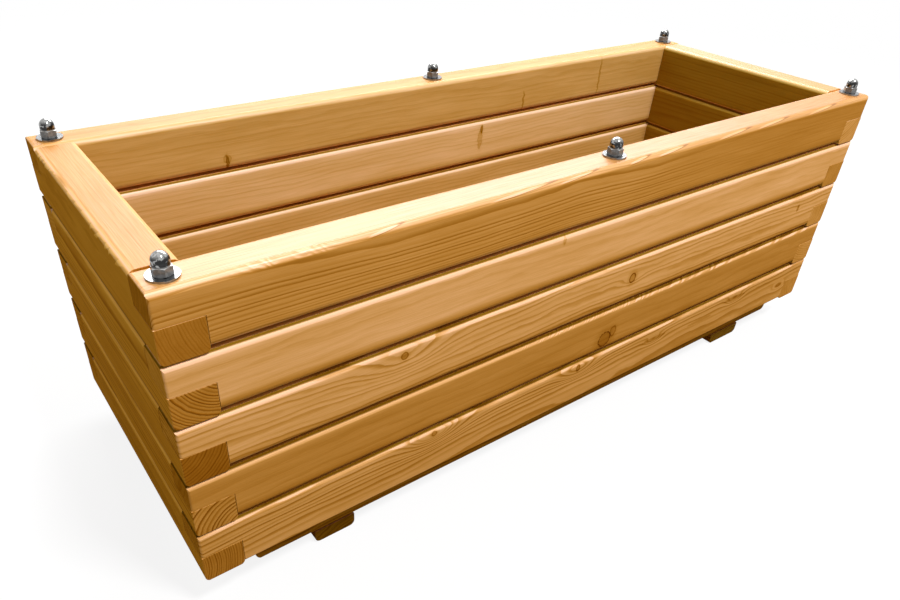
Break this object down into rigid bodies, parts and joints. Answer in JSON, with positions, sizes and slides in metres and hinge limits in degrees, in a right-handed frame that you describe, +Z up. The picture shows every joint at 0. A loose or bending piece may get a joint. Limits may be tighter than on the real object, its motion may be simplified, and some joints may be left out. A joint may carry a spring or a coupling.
{
  "type": "wooden planter",
  "caption": "Long open-topped planter box of stacked planed rails, notched together at the corners, clamped by threaded rods with cap nuts, on two cross feet.",
  "frame": {"origin": "on the ground, under the middle of the planter", "axes": "+X along the length to the right, +Y to the back, +Z up"},
  "size_m": [1.1, 0.4, 0.414],
  "materials": {
    "long_rail_wood": "satin",
    "end_rail_wood": "satin",
    "floor_wood": "satin",
    "foot_wood": "satin",
    "rod_steel": "satin",
    "nut_steel": "polished",
    "washer_steel": "satin",
    "screw_steel": "satin"
  },
  "bodies": {
    "root": {"front_rail_1": "long_rail_wood", "front_rail_2": "long_rail_wood", "front_rail_3": "long_rail_wood", "front_rail_4": "long_rail_wood", "front_rail_5": "long_rail_wood", "back_rail_1": "long_rail_wood", "back_rail_2": "long_rail_wood", "back_rail_3": "long_rail_wood", "back_rail_4": "long_rail_wood", "back_rail_5": "long_rail_wood", "left_end_rail_1": "end_rail_wood", "left_end_rail_2": "end_rail_wood", "left_end_rail_3": "end_rail_wood", "left_end_rail_4": "end_rail_wood", "left_end_rail_5": "end_rail_wood", "right_end_rail_1": "end_rail_wood", "right_end_rail_2": "end_rail_wood", "right_end_rail_3": "end_rail_wood", "right_end_rail_4": "end_rail_wood", "right_end_rail_5": "end_rail_wood", "front_floor_board": "floor_wood", "middle_floor_board": "floor_wood", "back_floor_board": "floor_wood", "left_foot": "foot_wood", "right_foot": "foot_wood", "front_left_rod": "rod_steel", "front_middle_rod": "rod_steel", "front_right_rod": "rod_steel", "back_left_rod": "rod_steel", "back_middle_rod": "rod_steel", "back_right_rod": "rod_steel", "cap_nuts": "nut_steel", "top_washers": "washer_steel", "bottom_nuts": "nut_steel", "bottom_washers": "washer_steel", "floor_screws": "screw_steel", "foot_screws": "screw_steel"}
  },
  "joints": []
}
